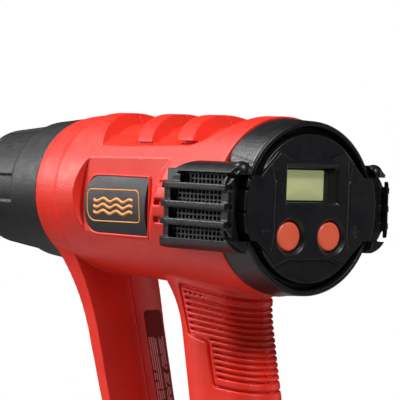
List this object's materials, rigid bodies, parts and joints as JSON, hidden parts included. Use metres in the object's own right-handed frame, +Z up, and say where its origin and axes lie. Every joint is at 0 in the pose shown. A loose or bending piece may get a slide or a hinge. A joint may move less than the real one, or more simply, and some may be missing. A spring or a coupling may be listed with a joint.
{
  "type": "heat gun",
  "caption": "Hand-held hot-air gun with a closed D handle, side air intakes, a rear display and setting buttons, and a steel outlet tube in a cone guard.",
  "frame": {"origin": "centre of the flat underside of the handle's base", "axes": "+X along the barrel towards the hot-air outlet, +Z up from the base to the barrel, +Y to the gun's left"},
  "size_m": [0.266, 0.1014, 0.21],
  "materials": {
    "red_plastic": "moulded, fine grain, semi-matte",
    "black_plastic": "moulded, fine grain, semi-matte",
    "black_heat_plastic": "glass-filled, matte",
    "orange_button": "satin moulded",
    "window": "clear, glossy",
    "lcd": "grey-green display glass",
    "circuit_board": "green solder mask",
    "components": "mixed electronic parts",
    "steel": "bare stainless sheet",
    "screw_steel": "blackened screws",
    "wire_mesh": "black painted wire mesh",
    "mica": "pressed mica",
    "ceramic": "white ceramic",
    "heating_wire": "oxidised resistance wire",
    "aluminium": "extruded, plain",
    "brass": "plain",
    "rotor": "laminations and copper winding",
    "magnet": "ferrite",
    "carbon": "carbon",
    "white_nylon": "unpigmented nylon",
    "gland_rubber": "soft black rubber",
    "plate": "printed plate, satin",
    "label": "printed sticker"
  },
  "bodies": {
    "casing": {"housing_left": "red_plastic", "housing_right": "red_plastic", "intake_grille_left": "black_plastic", "intake_grille_right": "black_plastic", "filter_mesh_left": "wire_mesh", "filter_mesh_right": "wire_mesh", "rear_collar": "black_plastic", "rear_cover": "black_plastic", "lcd_window": "window", "lcd_module": "lcd", "display_pcb": "circuit_board", "display_screws": "steel", "key_switches": "components", "nose_guard": "black_heat_plastic", "nozzle_tube": "steel", "mica_sleeve": "mica", "heater_former": "mica", "heating_coils": "heating_wire", "heater_base": "ceramic", "heater_end_disc": "ceramic", "thermocouple": "steel", "thermal_cutout": "aluminium", "air_duct": "black_heat_plastic", "motor_mount": "black_plastic", "motor_can": "steel", "motor_end_cap": "black_plastic", "bearing_rear": "brass", "bearing_front": "brass", "motor_magnets": "magnet", "carbon_brushes": "carbon", "control_pcb": "circuit_board", "pcb_components": "components", "triac": "components", "heat_sink": "aluminium", "switch_body": "black_plastic", "terminal_block": "white_nylon", "cord_clamp": "black_plastic", "clamp_screws": "steel", "cable_gland": "gland_rubber", "name_plate_left": "plate", "name_plate_right": "plate", "warning_label": "label", "housing_screws": "screw_steel"},
    "rotor": {"impeller": "white_nylon", "motor_shaft": "steel", "armature": "rotor"},
    "minus_button": {"minus_button": "orange_button"},
    "plus_button": {"plus_button": "orange_button"},
    "switch": {"switch_slider": "black_plastic"}
  },
  "joints": [
    {"name": "fan_spin", "type": "hinge", "parent": "casing", "child": "rotor", "pos_m": [0.036, 0, 0.1702], "axis": [1, 0, 0], "continuous": true},
    {"name": "minus_press", "type": "slide", "parent": "casing", "child": "minus_button", "axis": [1, 0, 0], "range_m": [0, 0.0012], "stiffness_N_per_m": 1200, "springref_m": -0.0012},
    {"name": "plus_press", "type": "slide", "parent": "casing", "child": "plus_button", "axis": [1, 0, 0], "range_m": [0, 0.0012], "stiffness_N_per_m": 1200, "springref_m": -0.0012},
    {"name": "switch_slide", "type": "slide", "parent": "casing", "child": "switch", "axis": [0.2174, 0, 0.9761], "range_m": [-0.004, 0.004]}
  ]
}
